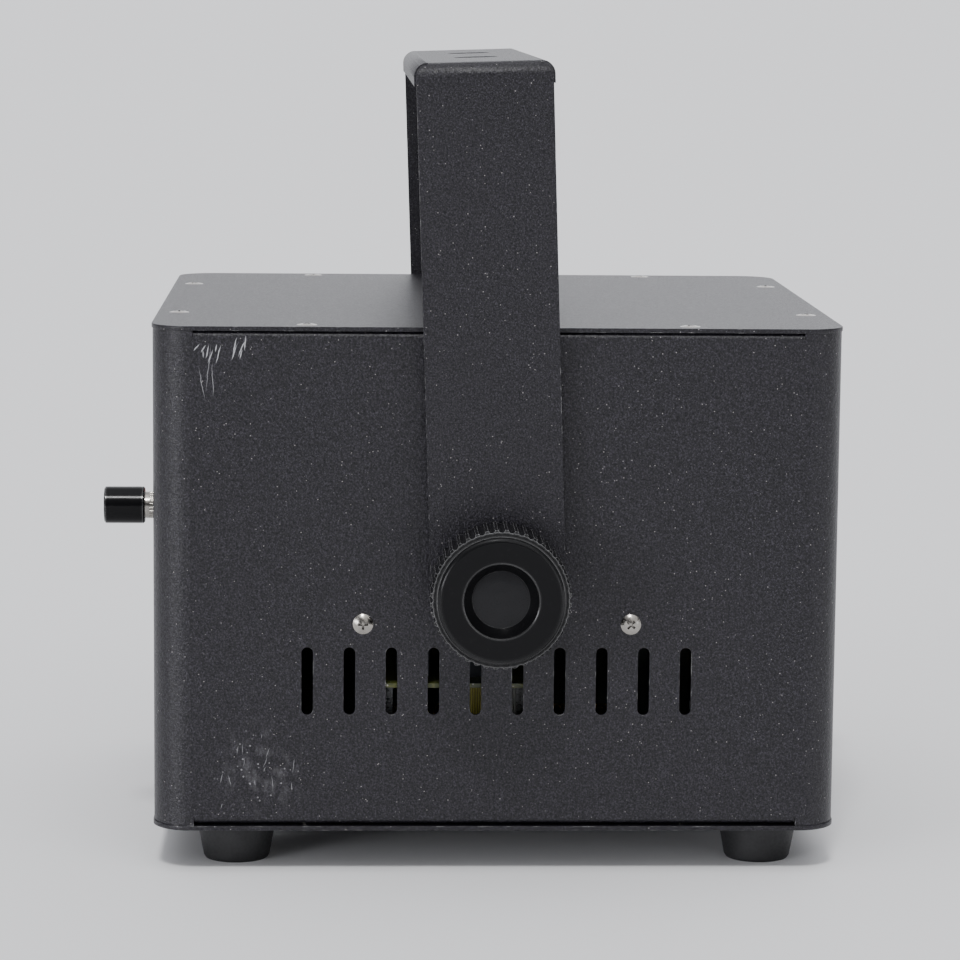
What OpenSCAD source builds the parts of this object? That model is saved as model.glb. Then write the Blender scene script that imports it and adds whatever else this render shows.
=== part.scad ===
// Compact stage fog machine: a folded sheet-steel housing hung in a tilting yoke.
// Frame: millimetres, +Z up, -Y front (fog outlet), +Y rear (controls), origin on the floor under the centre.

/* [Housing] */
// Length of the housing, front to rear
housing_l = 250; // [245:1:260]
// Width of the housing, between the yoke legs
housing_w = 240; // [236:1:250]
// Height of the housing, base plate and top plate included
housing_h = 184; // [180:1:200]
// Thickness of the top and base plates
plate_t = 1.6; // [1.2:0.1:2]
// Thickness of the side shells and of the front and rear panels
sheet_t = 1.5; // [1:0.1:1.5]
// Outer radius of the rounded vertical corners
corner_r = 14; // [12:0.5:16]

/* [Vents and screws] */
// Number of vent slots on each side
slot_count = 10; // [4:1:10]
// Distance between neighbouring slots
slot_pitch = 15.25; // [14:0.25:15.5]
// Width of a slot
slot_w = 4.2; // [3:0.1:6]
// End-to-end length of a slot
slot_l = 24.8; // [15:0.1:28]
// Distance of the plate screws from the housing's nearest corner, along the edge
screw_corner_gap = 56; // [40:1:60]
// Distance of the plate screws from the edge
screw_inset = 8; // [7:0.5:9]

/* [Yoke] */
// Lean of the yoke towards the rear, from upright
yoke_lean = 2; // [0:0.5:5]
// Width of the yoke's legs
yoke_leg_w = 48.5; // [40:0.5:52]
// Width of the yoke's channel-shaped crossbar
yoke_bar_w = 50; // [42:0.5:56]
// Height of the crossbar's top above the tilt axis
yoke_reach = 188.2; // [175:0.1:200]
// Thickness of the yoke's steel
yoke_t = 2.2; // [2:0.1:3]
// Radius of the two hanging holes
hang_hole_r = 8.5; // [5:0.5:9]
// Distance between the two hanging holes
hang_hole_gap = 86; // [70:1:120]

/* [Clamp knobs] */
// Outer diameter of the toothed clamp knobs
clamp_d = 50; // [44:1:54]
// Number of teeth round a clamp knob
clamp_teeth = 44; // [24:1:60]
// Thickness of the friction disc between the housing and a yoke leg
friction_t = 5.8; // [3:0.1:8]

/* [Feet and controls] */
// Height of the rubber feet
foot_h = 16; // [12:0.5:20]
// Diameter of a foot where it meets the base plate
foot_d = 30; // [24:0.1:32]
// How far the output knob and the nozzle stand out past the housing
overhang = 19.3; // [19:0.1:22]
// Diameter of the output knob
output_d = 13.7; // [12:0.1:18]

/* [Hidden] */
$fn = 48;

tiny = 0.05;              // clearance between faces that only touch
run = 0.05;               // radial clearance of a running fit
cut = 1;                  // how far a cutter passes a face

// Housing
half_l = housing_l / 2;
half_w = housing_w / 2;
wall_gap = 0.3;           // the walls stand this far inside the plates' edges
wall_l = half_l - wall_gap;
wall_w = half_w - wall_gap;
base_z = foot_h;
top_z = foot_h + housing_h;
wall_low = base_z + plate_t + tiny;
wall_high = top_z - plate_t - tiny;
fold_r = 2.4;             // outer radius of a folded edge
flange_w = 16;            // width of the folded flanges
notch_w = 0.2;            // relief notch at each end of a fold
bottom_gap = 0.8;         // the shells' bottom flanges stay this far above the base plate
notch_start = corner_r + 1.3;
return_x = 94;            // where the side shells end on the front and rear
panel_half_w = 105;
panel_out = wall_l - sheet_t - tiny;   // outer face of the front and rear panels
panel_in = panel_out - sheet_t;        // inner face of the front and rear panels

// Screws
screw_r = 2;
screw_hole_r = screw_r + run;
screw_head_r = 3.7;
low_head_h = 0.55;        // height of the plate screws' low heads
screw_x = half_w - screw_corner_gap;
screw_y = half_l - screw_corner_gap;
edge_x = half_w - screw_inset;
edge_y = half_l - screw_inset;
plate_screws_at = [for (sx = [-1, 1], sy = [-1, 1], p = [[screw_x, edge_y], [edge_x, screw_y]])
    [sx * p[0], sy * p[1]]];
panel_screw_r = 1.5;
panel_screw_x = 98.5;
panel_screws_at = [for (sx = [-1, 1], z = [46, 108, 170]) [sx * panel_screw_x, z]];

// Yoke and its pivots
pivot_z = foot_h + 90.6;
pivot_plate_t = 3;
side_screw_y = 48.5;
side_screw_z = foot_h + 76.3;
slot_z = foot_h + 55.3;
leg_in = wall_w + friction_t;
leg_out = leg_in + yoke_t;
leg_half = yoke_leg_w / 2;
bar_half = yoke_bar_w / 2;
bar_drop = 8.2;           // height of the crossbar's flanges
yoke_round = 5;           // outer radius of the yoke's folds
stud_r = 4;
pivot_hole_r = stud_r + 0.08;

// Clamp knobs, from the yoke outwards
washer_t = 3;
knob_x0 = leg_out + washer_t;
knob_teeth_l = 21;
knob_l = 23.8;
knob_face_r = 22.55;
knob_round = 1.6;
dish_r = 13.45;
dish_floor_r = 10.2;
dish_depth = 4.4;
cap_t = 2;
bolt_head_h = 5.3;
bolt_head_r = 7.5;
bolt_x = knob_x0 + knob_l - dish_depth - cap_t - bolt_head_h - tiny;
stud_end = wall_w - sheet_t - pivot_plate_t - 11;

// Feet
foot_taper = 2.8;         // how much smaller a foot's radius is at its bottom
foot_recess = 7;          // depth of the recess for the screw in a foot
foot_x = half_w - 28;
foot_front_y = -half_l + 26;
foot_rear_y = half_l - 30;
feet_at = [for (sx = [-1, 1], y = [foot_front_y, foot_rear_y]) [sx * foot_x, y]];

// Heater and nozzle
heater_x = 38;
heater_z = 108;
heater_r = 22;
wrap_r = 28;
heater_front = -95;
heater_rear = 35;
nozzle_r = 7;
nozzle_tip = -half_l - overhang;
cartridge_x = 10;         // the heating cartridges lie this far each side of the heater's axis
cartridge_drop = 12;      // and this far below it
cartridge_l = 110;
cradle_half = 31;         // half the width of the cradle and of the straps' feet
outlet_ring_t = 4.5;
outlet_screw_angles = [30, 150, 270];
outlet_screw_at = 23;     // radius of the circle the outlet ring's screws stand on

// Pump, board and tank
pump_x = -90;
pump_half_w = 16;
pump_z = 46;
pump_r = 11;
plunger_r = 6;
board_z = 67.8;
board_x0 = -114;
board_y0 = -15;
board_w = 74;
board_l = 60;
standoffs_at = [for (x = [4, board_w - 5], y = [5, board_l - 5]) [board_x0 + x, board_y0 + y]];
tank_x0 = 70.5;
tank_x1 = 102;
tank_y = 90;
tank_z1 = 168;
tank_wall = 2;
spout_z = 30;
neck_at = [81.5, 150];
neck_r = 11;
neck_end = half_l + 6.6;
cap_r = 16;
cap_back = half_l + 0.3;
cap_face = half_l + 9.1;
barb_r = 2.4;
barb_bore_r = 1.2;
tube_r = 3.7;
tube_y = 70;

// Controls on the rear panel
knob_at = [-75, foot_h + 113.1];
knob_back = half_l + 4.4;
button_at = [-30, 129];
lamp_at = [5, 129];
switch_at = [10, 52];
inlet_at = [60, 52];
socket_at = [-42, 52];
rocker_tilt = 8;
rocker_y = panel_out - 3;
rocker_pin_r = 1.2;

// ---------- helpers ----------

// Turns what points up to point along +X, -X, +Y or -Y
module face_right() rotate([0, 90, 0]) children();
module face_left() rotate([0, -90, 0]) children();
module face_rear() rotate([-90, 0, 0]) children();
module face_front() rotate([90, 0, 0]) children();

// Draws what is made for the right side on both sides
module both_sides() {
    children();
    mirror([1, 0, 0]) children();
}

// An upright block with rounded vertical edges, centred in plan
module rounded_block(x, y, z, r) {
    translate([-x / 2 + r, -y / 2, 0]) cube([x - 2 * r, y, z]);
    translate([-x / 2, -y / 2 + r, 0]) cube([x, y - 2 * r, z]);
    for (sx = [-1, 1], sy = [-1, 1])
        translate([sx * (x / 2 - r), sy * (y / 2 - r), 0]) cylinder(h = z, r = r);
}

// A quarter of a folded edge along Z, from the +X side round to the +Y side
module fold(length, r, t) {
    linear_extrude(length) difference() {
        intersection() {
            circle(r);
            square(r);
        }
        circle(r - t);
    }
}

// A slot that runs along Z and cuts through along X
module slot_cutter(w, l, depth) {
    translate([-depth / 2, -w / 2, -l / 2 + w / 2]) cube([depth, w, l - w]);
    for (s = [-1, 1])
        translate([0, 0, s * (l - w) / 2]) face_right() cylinder(h = depth, r = w / 2, center = true);
}

// The cross-shaped recess of a screw head, sunk below z = 0
module cross_recess(width, depth) {
    for (a = [0, 90]) rotate([0, 0, a])
        translate([-width / 2, -width / 9, -depth]) cube([width, width / 4.5, depth + cut]);
}

// A domed screw standing on z = 0, its shank below
module pan_screw(r, head_r, head_h, length, turn = 20) {
    recess = 1.4;
    dome_r = (head_r * head_r + head_h * head_h) / (2 * head_h);
    difference() {
        union() {
            intersection() {
                translate([0, 0, head_h - dome_r]) sphere(r = dome_r);
                cylinder(h = head_h + cut, r = head_r);
            }
            translate([0, 0, -length]) cylinder(h = length + head_h / 3, r = r);
        }
        rotate([0, 0, turn]) translate([0, 0, head_h]) cross_recess(head_r, recess);
    }
}

// A countersunk screw with its face at z = 0
module flat_screw(r, head_r, length, turn = 20) {
    difference() {
        union() {
            translate([0, 0, r - head_r]) cylinder(h = head_r - r, r1 = r, r2 = head_r);
            translate([0, 0, -length]) cylinder(h = length - head_r + r + tiny, r = r);
        }
        rotate([0, 0, turn]) cross_recess(head_r * 1.2, 1);
    }
}

function unit(v) = v / norm(v);

// Moves +Z to the direction d, at the point p
module along(p, d) {
    z = unit(d);
    x = unit(cross(abs(z[2]) > 0.9 ? [0, 1, 0] : [0, 0, 1], z));
    y = cross(z, x);
    multmatrix([[x[0], y[0], z[0], p[0]], [x[1], y[1], z[1], p[1]], [x[2], y[2], z[2], p[2]]]) children();
}

// A round rod through the points p, with a slightly fuller ball at every corner
module bent_rod(p, r) {
    for (i = [1 : len(p) - 1]) along(p[i - 1], p[i] - p[i - 1]) cylinder(h = norm(p[i] - p[i - 1]), r = r);
    for (i = [1 : len(p) - 2]) translate(p[i]) sphere(r = r + 0.3, $fn = 24);
}

// ---------- housing ----------

module base_plate() color("#2b2b2f") difference() {
    translate([0, 0, base_z]) rounded_block(housing_w, housing_l, plate_t, corner_r);
    for (p = plate_screws_at) translate([p[0], p[1], base_z - cut]) cylinder(h = plate_t + 2 * cut, r = screw_hole_r);
    for (p = feet_at) translate([p[0], p[1], base_z - cut]) cylinder(h = plate_t + 2 * cut, r = screw_hole_r);
}

module top_plate() color("#2b2b2f") difference() {
    translate([0, 0, top_z - plate_t]) rounded_block(housing_w, housing_l, plate_t, corner_r);
    for (p = plate_screws_at) translate([p[0], p[1], top_z - plate_t - cut])
        cylinder(h = plate_t + 2 * cut, r = screw_hole_r);
}

// The folded top flange of the right-hand shell; its mirror image is the bottom flange
module shell_flange() {
    length = 2 * (half_l - notch_start - notch_w);
    translate([wall_w - fold_r, -length / 2, wall_high - fold_r]) face_rear() rotate([0, 0, -90])
        fold(length, fold_r, sheet_t);
    difference() {
        translate([wall_w - flange_w, -length / 2, wall_high - sheet_t])
            cube([flange_w - fold_r, length, sheet_t]);
        for (s = [-1, 1]) translate([edge_x, s * screw_y, wall_high - sheet_t - cut])
            cylinder(h = sheet_t + 2 * cut, r = screw_hole_r);
    }
}

// The right-hand shell: a wall with rounded corners that return onto the front and rear
module side_shell() {
    middle_z = (wall_low + wall_high) / 2;
    wall_h = wall_high - wall_low;
    difference() {
        translate([0, 0, wall_low]) rounded_block(2 * wall_w, 2 * wall_l, wall_h, corner_r);
        translate([0, 0, wall_low - cut])
            rounded_block(2 * (wall_w - sheet_t), 2 * (wall_l - sheet_t), wall_h + 2 * cut, corner_r - sheet_t);
        translate([-housing_w, -housing_l, 0]) cube([housing_w + return_x, 2 * housing_l, 2 * top_z]);
        for (z = [[wall_low - cut, fold_r + bottom_gap + cut], [wall_high - fold_r, fold_r + cut]])
            translate([wall_w - sheet_t - cut, -half_l + notch_start, z[0]])
                cube([sheet_t + 2 * cut, housing_l - 2 * notch_start, z[1]]);
        for (i = [0 : slot_count - 1])
            translate([wall_w, (i - (slot_count - 1) / 2) * slot_pitch, slot_z]) slot_cutter(slot_w, slot_l, 8);
        translate([wall_w, 0, pivot_z]) face_right() cylinder(h = 8, r = stud_r + 0.5, center = true);
        for (s = [-1, 1]) translate([wall_w, s * side_screw_y, side_screw_z])
            face_right() cylinder(h = 8, r = screw_hole_r, center = true);
        for (p = panel_screws_at, s = [-1, 1]) translate([p[0], s * wall_l, p[1]]) {
            face_front() cylinder(h = 8, r = panel_screw_r + run, center = true);
            rotate([s * 90, 0, 0]) translate([0, 0, -tiny])
                cylinder(h = 1.45, r1 = 2.95 + tiny, r2 = panel_screw_r + run);
        }
    }
    shell_flange();
    translate([0, 0, 2 * middle_z + bottom_gap]) mirror([0, 0, 1]) shell_flange();
}

module left_side_shell() color("#2b2b2f") mirror([1, 0, 0]) side_shell();
module right_side_shell() color("#2b2b2f") side_shell();

// A panel at the rear, with flanges folded inwards at its top and bottom
module panel_blank() {
    low = wall_low + fold_r;
    high = wall_high - fold_r;
    flange_half = panel_half_w - 6;
    difference() {
        translate([-panel_half_w, panel_in, low]) cube([2 * panel_half_w, sheet_t, high - low]);
        for (p = panel_screws_at) translate([p[0], panel_in, p[1]])
            face_front() cylinder(h = 8, r = panel_screw_r + run, center = true);
    }
    for (s = [-1, 1]) translate([0, 0, s > 0 ? 0 : wall_low + wall_high]) mirror([0, 0, s > 0 ? 0 : 1]) {
        translate([-flange_half, panel_out - fold_r, high]) face_right() rotate([0, 0, 90])
            fold(2 * flange_half, fold_r, sheet_t);
        difference() {
            translate([-flange_half, panel_out - flange_w, wall_high - sheet_t])
                cube([2 * flange_half, flange_w - fold_r, sheet_t]);
            for (t = [-1, 1]) translate([t * screw_x, edge_y, wall_high - sheet_t - cut])
                cylinder(h = sheet_t + 2 * cut, r = screw_hole_r);
        }
    }
}

module front_panel() color("#2b2b2f") difference() {
    mirror([0, 1, 0]) panel_blank();
    translate([heater_x, -panel_in, heater_z]) face_front() cylinder(h = 12, r = 18, center = true);
    for (a = outlet_screw_angles) translate([heater_x, -panel_in, heater_z]) rotate([0, a, 0])
        translate([outlet_screw_at, 0, 0]) face_front() cylinder(h = 12, r = panel_screw_r + run, center = true);
}

module rear_panel() color("#2b2b2f") difference() {
    panel_blank();
    for (hole = [[knob_at, 3.6], [button_at, 6.6], [lamp_at, 4.1], [socket_at, 11.1], [neck_at, neck_r + 0.6]])
        translate([hole[0][0], panel_in, hole[0][1]]) face_front() cylinder(h = 12, r = hole[1], center = true);
    translate([switch_at[0] - 8.1, panel_in - cut, switch_at[1] - 11.1]) cube([16.2, 6, 22.2]);
    translate([inlet_at[0] - 14.1, panel_in - cut, inlet_at[1] - 11.1]) cube([28.2, 6, 22.2]);
}

// The alike screws of the top plate and of the base plate
module plate_screws() color("silver")
    for (i = [0 : 7]) {
        translate([plate_screws_at[i][0], plate_screws_at[i][1], top_z])
            pan_screw(screw_r, screw_head_r, low_head_h, 5, 20 + 37 * i);
        translate([plate_screws_at[i][0], plate_screws_at[i][1], base_z])
            mirror([0, 0, 1]) pan_screw(screw_r, screw_head_r, low_head_h, 5, 10 + 29 * i);
    }

module panel_screws() color("#1c1c1e")
    for (i = [0 : 5], s = [-1, 1]) translate([panel_screws_at[i][0], s * (wall_l - 0.05), panel_screws_at[i][1]])
        rotate([-s * 90, 0, 0]) flat_screw(panel_screw_r, 2.9, 6, 31 * i);

module side_screws() color("silver") both_sides()
    for (s = [-1, 1]) translate([wall_w, s * side_screw_y, side_screw_z])
        face_right() pan_screw(screw_r, screw_head_r, 1.3, 7, s > 0 ? 0 : 40);

// A plate inside the right wall that carries the thread the clamp stud screws into
module pivot_plate() {
    x = wall_w - sheet_t - pivot_plate_t;
    difference() {
        union() {
            translate([x, -58, side_screw_z - 6]) cube([pivot_plate_t, 116, 17]);
            translate([x, -18, side_screw_z - 6]) cube([pivot_plate_t, 36, 37]);
            translate([x - 10, 0, pivot_z]) face_right() cylinder(h = 10 + tiny, r = 8.6, $fn = 6);
        }
        translate([x - 12, 0, pivot_z]) face_right() cylinder(h = 20, r = stud_r + run);
        for (s = [-1, 1]) translate([x - cut, s * side_screw_y, side_screw_z])
            face_right() cylinder(h = 8, r = screw_hole_r);
    }
}

module pivot_plates() color("#a8abad") both_sides() pivot_plate();

module rubber_feet() color("#161616")
    for (p = feet_at) translate([p[0], p[1], 0]) difference() {
        union() {
            translate([0, 0, 1]) cylinder(h = foot_h - 1, r1 = foot_d / 2 - foot_taper, r2 = foot_d / 2);
            cylinder(h = 1, r1 = foot_d / 2 - foot_taper - 0.6, r2 = foot_d / 2 - foot_taper);
        }
        translate([0, 0, -cut]) cylinder(h = foot_recess + cut, r = 5);
        cylinder(h = foot_h + cut, r = screw_hole_r);
    }

module foot_screws() color("silver")
    for (p = feet_at) translate([p[0], p[1], foot_recess]) mirror([0, 0, 1])
        pan_screw(screw_r, 4, 2, foot_h + plate_t - 4, 15);

// ---------- yoke and clamps ----------

// The outline of the yoke's leg, extruded across the whole yoke
module yoke_outline() translate([-leg_out - cut, 0, 0]) {
    length = 2 * (leg_out + cut);
    face_right() cylinder(h = length, r = leg_half);
    translate([0, -leg_half, 0]) cube([length, 2 * leg_half, yoke_reach - yoke_round]);
    translate([0, -leg_half + yoke_round, 0]) cube([length, 2 * (leg_half - yoke_round), yoke_reach]);
    for (s = [-1, 1]) translate([0, s * (leg_half - yoke_round), yoke_reach - yoke_round])
        face_right() cylinder(h = length, r = yoke_round);
}

module yoke_upright() difference() {
    union() {
        // the two legs and the folds at their tops
        intersection() {
            yoke_outline();
            both_sides() {
                translate([leg_in, -leg_half - cut, -leg_half - cut])
                    cube([yoke_t, 2 * (leg_half + cut), yoke_reach - yoke_round + leg_half + cut]);
                translate([leg_out - yoke_round, -leg_half - cut, yoke_reach - yoke_round])
                    face_rear() rotate([0, 0, -90]) fold(2 * (leg_half + cut), yoke_round, yoke_t);
            }
        }
        // the channel-shaped crossbar
        bar_l = 2 * (leg_out - yoke_round);
        translate([-bar_l / 2, -bar_half + yoke_round, yoke_reach - yoke_t])
            cube([bar_l, 2 * (bar_half - yoke_round), yoke_t]);
        for (s = [0, 1]) mirror([0, s, 0]) {
            translate([-bar_l / 2 - 2.4, bar_half - yoke_round, yoke_reach - yoke_round]) face_right()
                rotate([0, 0, 90]) fold(bar_l + 4.8, yoke_round, yoke_t);
            translate([-bar_l / 2 - 2.4, bar_half - yoke_t, yoke_reach - bar_drop])
                cube([bar_l + 4.8, yoke_t, bar_drop - yoke_round]);
        }
    }
    face_right() cylinder(h = 2 * leg_out + 4, r = pivot_hole_r, center = true);
    for (s = [-1, 1]) translate([s * hang_hole_gap / 2, 0, yoke_reach - yoke_t - cut])
        cylinder(h = yoke_t + 2 * cut, r = hang_hole_r);
}

module yoke() color("#2b2b2f") translate([0, 0, pivot_z]) rotate([-yoke_lean, 0, 0]) yoke_upright();

module ring_x(x, length, r, bore) translate([x, 0, pivot_z]) face_right() difference() {
    cylinder(h = length, r = r);
    translate([0, 0, -cut]) cylinder(h = length + 2 * cut, r = bore);
}

module friction_discs() color("#161616") both_sides() ring_x(wall_w, friction_t, 18, pivot_hole_r);
module left_clamp_washer() color("silver") mirror([1, 0, 0]) ring_x(leg_out, washer_t, 11, pivot_hole_r);
module right_clamp_washer() color("silver") ring_x(leg_out, washer_t, 11, pivot_hole_r);

// The toothed knob, made for the right side with its face at +X
module clamp_knob() translate([knob_x0, 0, pivot_z]) face_right() difference() {
    union() {
        cylinder(h = knob_teeth_l - 1, r = clamp_d / 2);
        translate([0, 0, knob_teeth_l - 1]) cylinder(h = 1, r1 = clamp_d / 2, r2 = clamp_d / 2 - 0.8);
        rotate_extrude() polygon([[0, knob_teeth_l - 1], [knob_face_r, knob_teeth_l - 1],
            for (a = [0 : 15 : 90]) [knob_face_r - knob_round * (1 - cos(a)), knob_l - knob_round * (1 - sin(a))],
            [0, knob_l]]);
    }
    for (i = [0 : clamp_teeth - 1]) rotate([0, 0, i * 360 / clamp_teeth])
        translate([clamp_d / 2 + 0.35, 0, -cut]) cylinder(h = knob_teeth_l + cut, r = 1.25, $fn = 24);
    // the dish in the face, the seat of the cap and the pocket of the bolt head
    translate([0, 0, knob_l - dish_depth]) cylinder(h = dish_depth, r1 = dish_floor_r, r2 = dish_r);
    translate([0, 0, knob_l - 0.3]) cylinder(h = 0.35, r1 = dish_r - 0.4, r2 = dish_r + 0.3);
    translate([0, 0, knob_l - dish_depth - cap_t]) cylinder(h = cap_t + tiny, r = dish_floor_r);
    translate([0, 0, bolt_x - knob_x0]) cylinder(h = knob_l, r = bolt_head_r + run, $fn = 6);
    translate([0, 0, -cut]) cylinder(h = knob_l, r = stud_r + run);
    // the moulding is hollow behind
    translate([0, 0, -cut]) difference() {
        cylinder(h = 12 + cut, r = 21);
        cylinder(h = 14, r = 12);
    }
}

module left_clamp_knob() color("#141416") mirror([1, 0, 0]) clamp_knob();
module right_clamp_knob() color("#141416") clamp_knob();

module clamp_stud() translate([0, 0, pivot_z]) {
    translate([bolt_x, 0, 0]) face_right() cylinder(h = bolt_head_h, r = bolt_head_r, $fn = 6);
    translate([stud_end, 0, 0]) face_right() cylinder(h = bolt_x - stud_end + tiny, r = stud_r);
}

module left_clamp_stud() color("silver") mirror([1, 0, 0]) clamp_stud();
module right_clamp_stud() color("silver") clamp_stud();

// A slightly raised cap that hides the bolt head at the bottom of the dish
module knob_cap() translate([knob_x0 + knob_l - dish_depth - cap_t, 0, pivot_z]) face_right() {
    cylinder(h = cap_t, r = dish_floor_r - run);
    translate([0, 0, cap_t]) cylinder(h = 0.35, r1 = dish_floor_r - run, r2 = 6.5);
    translate([0, 0, cap_t + 0.35]) cylinder(h = 0.2, r1 = 6.5, r2 = 2.5);
}

module left_knob_cap() color("#141416") mirror([1, 0, 0]) knob_cap();
module right_knob_cap() color("#141416") knob_cap();

// ---------- heater and outlet ----------

// A rod along +Y, centred on the heater's axis
module heater_rod(y0, y1, r) translate([heater_x, y0, heater_z]) face_rear() cylinder(h = y1 - y0, r = r);

module heater_block() color("#b9bcbe") difference() {
    heater_rod(heater_front, heater_rear, heater_r);
    heater_rod(heater_front - cut, heater_front + 20, 5 + run);
    heater_rod(heater_rear - 20, heater_rear + cut, 4 + run);
    heater_rod(heater_front, heater_rear, 1.5);
    for (s = [-1, 1]) translate([s * cartridge_x, 0, -cartridge_drop])
        heater_rod(heater_rear - cartridge_l, heater_rear + cut, 4 + run);
}

// Two heating cartridges, each with a thin tail for its wire
module heater_elements() color("#c9cbcc")
    for (s = [-1, 1]) translate([s * cartridge_x, 0, -cartridge_drop]) {
        heater_rod(heater_rear - cartridge_l + 1, heater_rear + 4, 4);
        heater_rod(heater_rear + 4 - tiny, heater_rear + 9, 1.6);
    }

module heater_insulation() color("#a89452") difference() {
    heater_rod(heater_front + 3, heater_rear - 3, wrap_r);
    heater_rod(heater_front, heater_rear, heater_r + run);
}

module heater_cradle() color("#a8abad") {
    floor_z = base_z + plate_t + tiny;
    translate([heater_x - cradle_half, -86, floor_z]) cube([2 * cradle_half, 112, 2]);
    for (y = [-76, 14]) difference() {
        translate([heater_x - cradle_half, y, floor_z]) cube([2 * cradle_half, 2, heater_z - floor_z]);
        heater_rod(y - cut, y + 2 + cut, wrap_r + run);
        translate([heater_x, y + 1, 46]) cube([34, 6, 30], center = true);
    }
}

module heater_straps() color("#a8abad")
    for (y = [-75.5, 14.5]) difference() {
        union() {
            translate([0, -5, 0]) heater_rod(y, y + 11, wrap_r + 1.3);
            translate([heater_x - cradle_half, y - 5, heater_z + tiny]) cube([2 * cradle_half, 11, 1.3]);
        }
        translate([0, -5, 0]) heater_rod(y - cut, y + 11 + cut, wrap_r + run);
        translate([heater_x - 40, y - 10, heater_z - 40 + tiny]) cube([80, 30, 40]);
    }

module heater_inlet() color("#b08d3c") difference() {
    union() {
        heater_rod(heater_rear - 15, heater_rear, 4);
        translate([heater_x, heater_rear, heater_z]) face_rear() cylinder(h = 7, r = 8, $fn = 6);
        heater_rod(heater_rear + 7, heater_rear + 22, 2.4);
    }
    heater_rod(heater_rear - 16, heater_rear + 23, 1.2);
}

module thermostats() color("#8d8f90")
    for (dx = [-13, 13]) translate([heater_x + dx, heater_rear, heater_z + 6]) {
        face_rear() cylinder(h = 6, r = 6);
        for (t = [-1, 1]) translate([t * 3 - 0.4, 6 - tiny, -2]) cube([0.8, 7, 4]);
    }

module nozzle() color("#b08d3c") difference() {
    union() {
        heater_rod(heater_front, heater_front + 18, 5);
        translate([heater_x, heater_front, heater_z]) face_front() cylinder(h = 10, r = 11, $fn = 6);
        heater_rod(nozzle_tip + 2, heater_front - 10, nozzle_r);
        translate([heater_x, nozzle_tip + 2, heater_z]) face_front() cylinder(h = 2, r1 = nozzle_r, r2 = 5);
    }
    heater_rod(nozzle_tip - cut, heater_front + 19, 1.5);
    translate([heater_x, nozzle_tip + 3, heater_z]) face_front() cylinder(h = 3.01, r1 = 1.5, r2 = 3.6);
}

module outlet_ring() color("#141416") translate([heater_x, -panel_out, heater_z]) face_front() difference() {
    union() {
        cylinder(h = 3, r = 28);
        translate([0, 0, 3]) cylinder(h = outlet_ring_t - 3, r1 = 28, r2 = 26.5);
        translate([0, 0, -sheet_t - 2]) cylinder(h = 4, r = 17.9);
    }
    translate([0, 0, -5]) cylinder(h = 12, r = 15);
    translate([0, 0, 1.5]) cylinder(h = 3.01, r1 = 15, r2 = 18.5);
    for (a = outlet_screw_angles) rotate([0, 0, -a]) translate([outlet_screw_at, 0, -cut])
        cylinder(h = 8, r = panel_screw_r + run);
}

module outlet_ring_screws() color("#1c1c1e")
    for (a = outlet_screw_angles) translate([heater_x, -panel_out - outlet_ring_t, heater_z]) rotate([0, a, 0])
        translate([outlet_screw_at, 0, 0]) face_front() pan_screw(panel_screw_r, 2.8, 1.6, 8, a);

// ---------- pump ----------

module pump_rod(y0, y1, r) translate([pump_x, y0, pump_z]) face_rear() cylinder(h = y1 - y0, r = r);

module pump_cylinder() color("#b08d3c") difference() {
    union() {
        pump_rod(-46, 40, pump_r);
        pump_rod(-60, -46 + tiny, barb_r);
        pump_rod(40 - tiny, 54, barb_r);
    }
    pump_rod(-26, 26, plunger_r + run);
    pump_rod(-61, 55, barb_bore_r);
}

module pump_coil() color("#8f7d1e") difference() {
    translate([pump_x - pump_half_w + 1, -1.9, pump_z - 20]) cube([2 * pump_half_w - 2, 19, 40.5]);
    pump_rod(-10, 30, pump_r + run);
}

module pump_frame() color("#77797b") difference() {
    translate([pump_x - pump_half_w, -20, pump_z - 21]) cube([2 * pump_half_w, 18, 41.5]);
    pump_rod(-30, 30, pump_r + run);
}

module pump_plunger() color("silver") difference() {
    pump_rod(-20, 20, plunger_r);
    pump_rod(-21, 21, 1.5);
}

module pump_mounts() color("#161616")
    for (y = [-36, 26]) difference() {
        translate([pump_x - 12, y, base_z + plate_t + tiny]) cube([24, 9, pump_z - base_z - plate_t + 13]);
        pump_rod(y - cut, y + 10 + cut, pump_r + run);
    }

// ---------- tank and tubes ----------

module fluid_tank() color([0.85, 0.87, 0.86, 0.6]) {
    w = tank_x1 - tank_x0;
    middle_x = (tank_x0 + tank_x1) / 2;
    z0 = base_z + plate_t + tiny;
    difference() {
        union() {
            translate([middle_x, 0, z0]) rounded_block(w, 2 * tank_y, tank_z1 - z0, 8);
            on_rear(neck_at) translate([0, 0, tank_y - tiny]) cylinder(h = neck_end - tank_y + tiny, r = neck_r);
            translate([tank_x0 + tiny, tube_y, spout_z]) face_left() cylinder(h = 14, r = barb_r);
        }
        translate([middle_x, 0, z0 + tank_wall])
            rounded_block(w - 2 * tank_wall, 2 * (tank_y - tank_wall), tank_z1 - z0 - 2 * tank_wall, 6);
        on_rear(neck_at) translate([0, 0, tank_y - tank_wall - cut]) cylinder(h = 80, r = neck_r - 2.5);
        translate([tank_x0 + tank_wall + cut, tube_y, spout_z]) face_left() cylinder(h = 30, r = barb_bore_r);
    }
}

// The sealing ring between the filler neck and the cap
module cap_seal() color("#8a3a2a") on_rear(neck_at) translate([0, 0, neck_end + tiny]) difference() {
    cylinder(h = 1, r = neck_r - 0.5);
    translate([0, 0, -cut]) cylinder(h = 4, r = neck_r - 3);
}

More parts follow.
